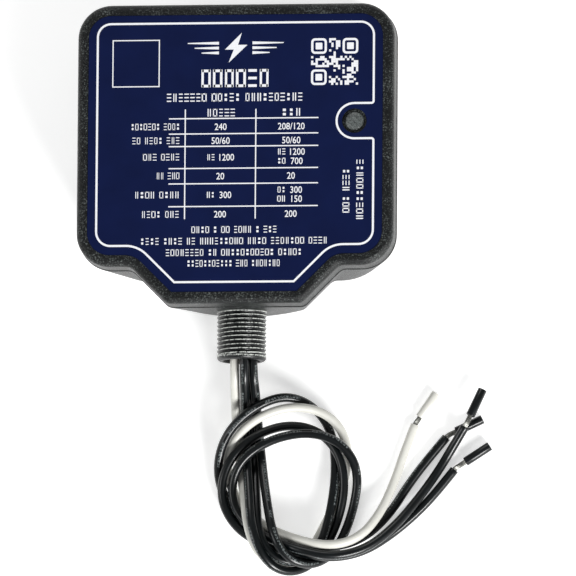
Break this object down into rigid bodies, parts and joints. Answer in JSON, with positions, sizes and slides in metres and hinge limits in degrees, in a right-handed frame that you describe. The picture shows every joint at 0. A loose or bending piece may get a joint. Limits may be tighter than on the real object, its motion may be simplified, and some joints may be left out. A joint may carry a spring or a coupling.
{
  "type": "whole house surge protector",
  "caption": "Hard-wired surge protector: flat moulded case, printed face label, status window, threaded conduit nipple and stranded leads tied in a loose knot.",
  "frame": {"origin": "centre of the case's width and length, on its flat back face", "axes": "+Z out of the printed front face; -Y along the conduit nipple, the way the leads leave; +X to the right as the label is read"},
  "size_m": [0.1745, 0.2413, 0.052],
  "materials": {
    "housing_plastic": "black moulded plastic with a fine spark-eroded texture",
    "gasket_rubber": "soft black silicone",
    "nipple_plastic": "dark grey moulded plastic",
    "label_print": "dark blue satin polyester, printed white",
    "lens": "frosted translucent plastic",
    "screw_steel": "zinc plated",
    "board": "green solder mask on glass-epoxy",
    "varistor_epoxy": "blue epoxy coating",
    "fuse_body": "fired ceramic",
    "capacitor_case": "moulded yellow case",
    "resistor_ceramic": "flameproof coating",
    "diode_epoxy": "black epoxy",
    "spacer_nylon": "natural nylon",
    "led_epoxy": "green tinted epoxy",
    "potting": "black epoxy",
    "pvc_black": "black PVC under a clear nylon jacket",
    "pvc_white": "white PVC under a clear nylon jacket",
    "tinned_copper": "tinned stranded copper",
    "terminal_brass": "plated brass"
  },
  "bodies": {
    "housing": {"board_screws": "screw_steel", "circuit_board": "board", "conduit_nipple": "nipple_plastic", "cover_screws": "screw_steel", "dropping_resistors": "resistor_ceramic", "face_label": "label_print", "film_capacitors": "capacitor_case", "front_cover": "housing_plastic", "lead_black_1": "pvc_black", "lead_black_2": "pvc_black", "lead_black_3": "pvc_black", "lead_seal": "potting", "lead_tails": "pvc_black", "lead_white": "pvc_white", "led_spacer": "spacer_nylon", "lid_gasket": "gasket_rubber", "rear_housing": "housing_plastic", "rectifier_diodes": "diode_epoxy", "status_led": "led_epoxy", "status_lens": "lens", "strand_black_1": "tinned_copper", "strand_black_2": "tinned_copper", "strand_black_3": "tinned_copper", "strand_white": "tinned_copper", "thermal_fuses": "fuse_body", "varistor_1": "varistor_epoxy", "varistor_2": "varistor_epoxy", "varistor_3": "varistor_epoxy", "varistor_4": "varistor_epoxy", "varistor_5": "varistor_epoxy", "varistor_6": "varistor_epoxy", "wire_terminals": "terminal_brass"},
    "slug_white": {"slug_white": "pvc_white"},
    "slug_black_1": {"slug_black_1": "pvc_black"},
    "slug_black_2": {"slug_black_2": "pvc_black"},
    "slug_black_3": {"slug_black_3": "pvc_black"}
  },
  "joints": [
    {"name": "white_slug_slide", "type": "slide", "parent": "housing", "child": "slug_white", "axis": [0.5592, 0.829, 0], "range_m": [-0.0024, 0.0107]},
    {"name": "black_1_slug_slide", "type": "slide", "parent": "housing", "child": "slug_black_1", "axis": [0.8387, 0.5446, 0], "range_m": [-0.0039, 0.0087]},
    {"name": "black_2_slug_slide", "type": "slide", "parent": "housing", "child": "slug_black_2", "axis": [0.9063, 0.4226, 0], "range_m": [-0.0024, 0.0096]},
    {"name": "black_3_slug_slide", "type": "slide", "parent": "housing", "child": "slug_black_3", "axis": [0.4041, 0.9077, -0.1132], "range_m": [-0.0022, 0.0093]}
  ]
}
